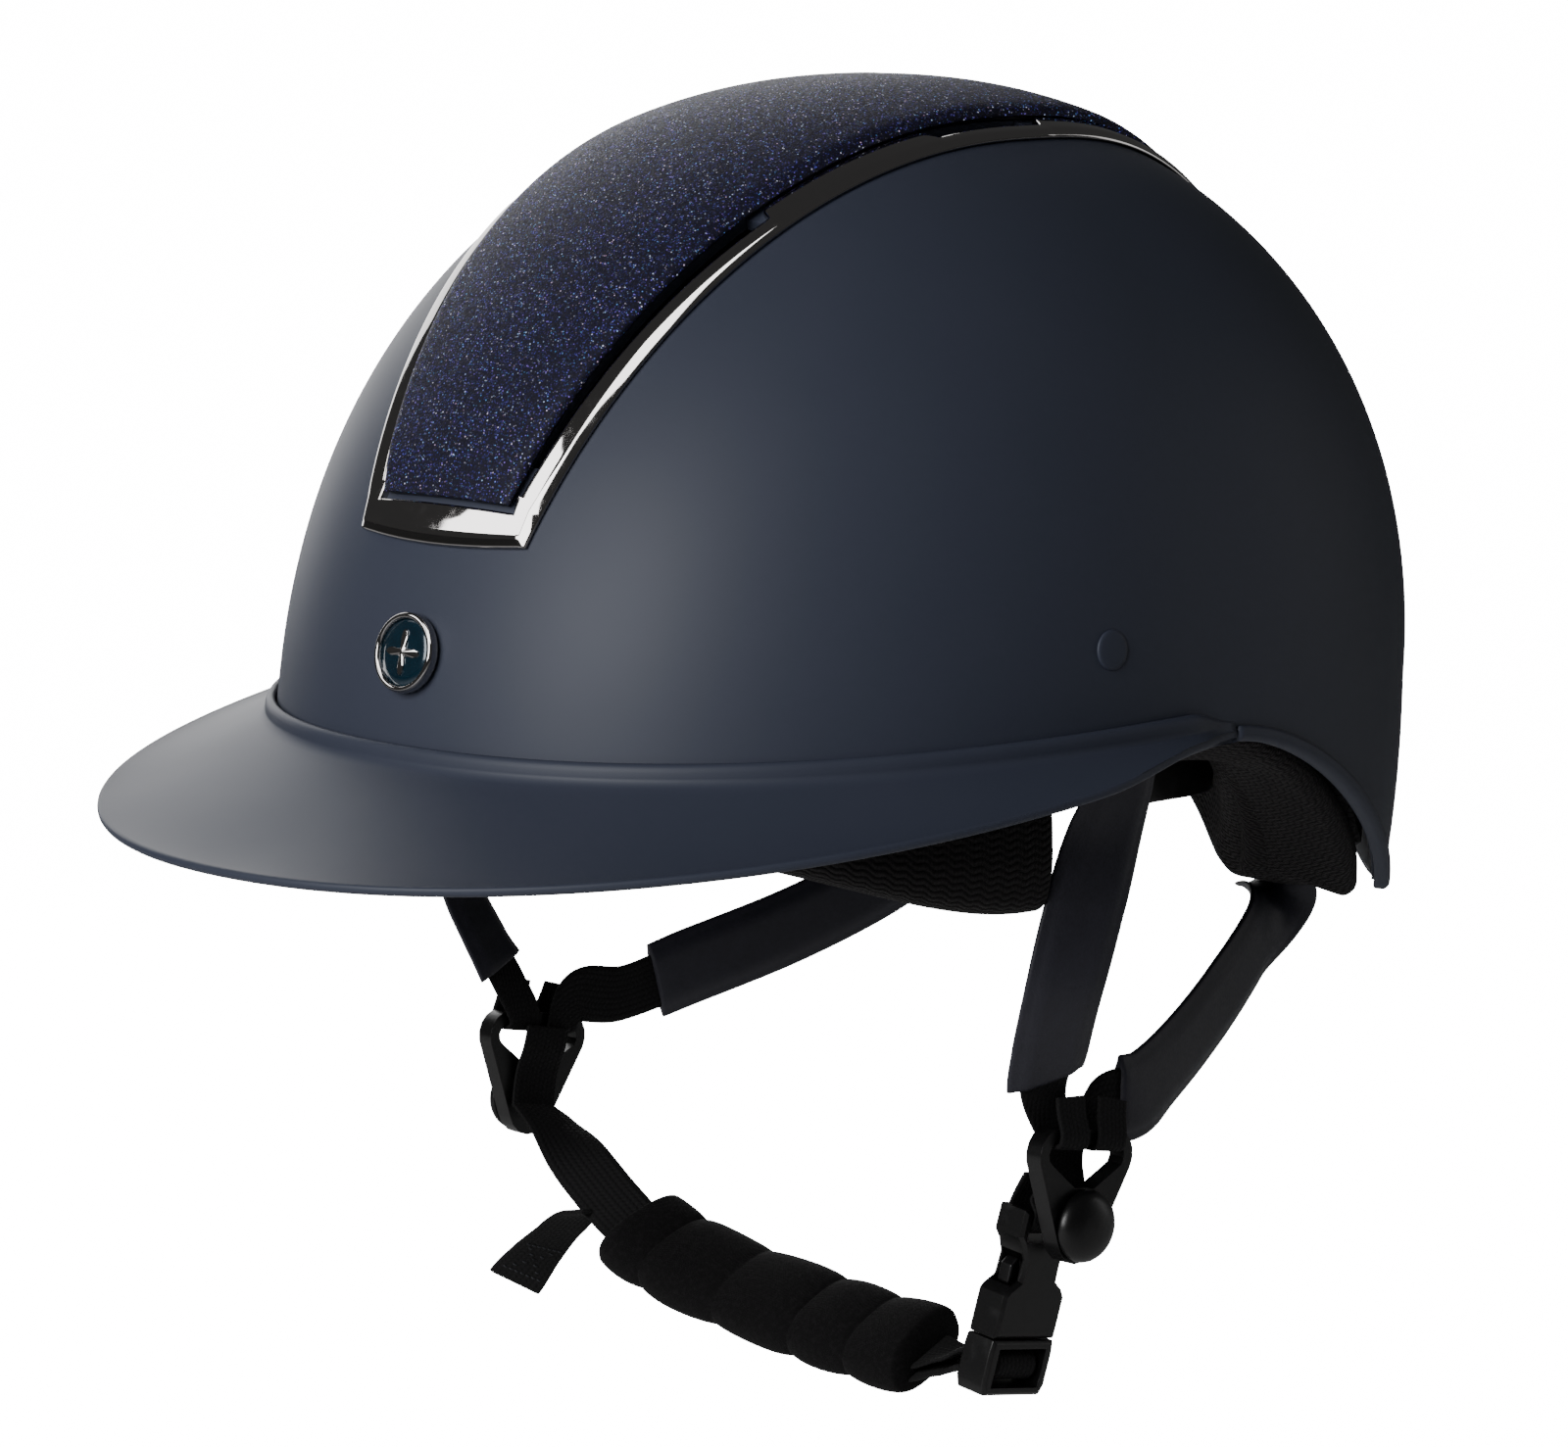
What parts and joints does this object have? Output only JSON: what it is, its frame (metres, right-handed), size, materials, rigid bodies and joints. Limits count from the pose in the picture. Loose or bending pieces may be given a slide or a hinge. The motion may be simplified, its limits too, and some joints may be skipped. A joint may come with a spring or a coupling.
{
  "type": "riding helmet",
  "caption": "Equestrian riding helmet with a wide curved peak, vented crown panel, padded liner, fit dial and a padded chin harness with a side-release buckle.",
  "frame": {"origin": "middle of the head opening, level with the headband", "axes": "the peak points to -Y, the crown to +Z and the wearer's left side is +X"},
  "size_m": [0.2532, 0.3491, 0.3107],
  "materials": {
    "shell": "matte soft-touch navy grey",
    "chrome": "dark mirror plating",
    "glitter": "dark navy glitter cloth",
    "plastic": "black satin",
    "enamel": "teal-navy enamel",
    "foam": "black bead foam",
    "mesh": "ribbed wavy knit",
    "leather": "navy-black smooth grain",
    "webbing": "black woven webbing"
  },
  "bodies": {
    "helmet": {"outer_shell": "shell", "brim": "shell", "edge_trim": "shell", "crown_trim": "chrome", "panel_carrier": "plastic", "panel_cover": "glitter", "badge_rim": "chrome", "badge_face": "enamel", "badge_emblem": "chrome", "side_plug_left": "shell", "side_plug_right": "shell", "impact_liner": "foam", "brow_pad": "mesh", "nape_pad": "mesh", "crown_pad": "mesh", "front_web_left": "webbing", "front_cover_left": "leather", "rear_web_left": "webbing", "rear_cover_left": "leather", "front_web_right": "webbing", "front_cover_right": "leather", "rear_web_right": "webbing", "rear_cover_right": "leather", "divider_left": "plastic", "divider_right": "plastic", "buckle_female": "plastic", "buckle_web": "webbing", "chin_anchor_web": "webbing", "cradle_arm_left": "plastic", "cradle_arm_right": "plastic", "fit_dial_housing": "plastic"},
    "chin_strap": {"chin_web": "webbing", "chin_pad": "webbing", "strap_tail": "webbing", "buckle_male": "plastic"},
    "prong_front": {"buckle_prong_front": "plastic"},
    "prong_rear": {"buckle_prong_rear": "plastic"},
    "cam_left": {"cam_cap_left": "plastic"},
    "cam_right": {"cam_cap_right": "plastic"},
    "fit_dial": {"fit_dial_knob": "plastic", "fit_pinion": "plastic"},
    "rack_left": {"fit_rack_left": "plastic"},
    "rack_right": {"fit_rack_right": "plastic"}
  },
  "joints": [
    {"name": "chin_release", "type": "hinge", "parent": "helmet", "child": "chin_strap", "pos_m": [-0.0863, -0.01822, -0.12016], "axis": [0, 0.9781, -0.2079], "range_deg": [0, 75]},
    {"name": "prong_front_press", "type": "slide", "parent": "chin_strap", "child": "prong_front", "axis": [0, 0.9781, -0.2079], "range_m": [0, 0.0014], "stiffness_N_per_m": 300},
    {"name": "prong_rear_press", "type": "slide", "parent": "chin_strap", "child": "prong_rear", "axis": [0, 0.9781, -0.2079], "range_m": [-0.0014, 0], "stiffness_N_per_m": 300},
    {"name": "cam_left_flip", "type": "hinge", "parent": "helmet", "child": "cam_left", "pos_m": [0.09265, -0.01676, -0.12098], "axis": [0, 0.9781, -0.2079], "range_deg": [0, 80]},
    {"name": "cam_right_flip", "type": "hinge", "parent": "helmet", "child": "cam_right", "pos_m": [-0.09265, -0.01676, -0.12098], "axis": [0, -0.9781, 0.2079], "range_deg": [0, 80]},
    {"name": "fit_dial_turn", "type": "hinge", "parent": "helmet", "child": "fit_dial", "pos_m": [0, 0.109, -0.017], "axis": [0, -1, 0], "range_deg": [0, 79]},
    {"name": "rack_left_slide", "type": "slide", "parent": "helmet", "child": "rack_left", "axis": [-1, 0, 0], "range_m": [0, 0.0046]},
    {"name": "rack_right_slide", "type": "slide", "parent": "helmet", "child": "rack_right", "axis": [1, 0, 0], "range_m": [0, 0.0046]}
  ],
  "couplings": [
    {"joint": "prong_rear_press", "follows": "prong_front_press", "ratio": -1},
    {"joint": "rack_left_slide", "follows": "fit_dial_turn", "m_per_rad": 0.00325},
    {"joint": "rack_right_slide", "follows": "fit_dial_turn", "m_per_rad": 0.00325}
  ]
}
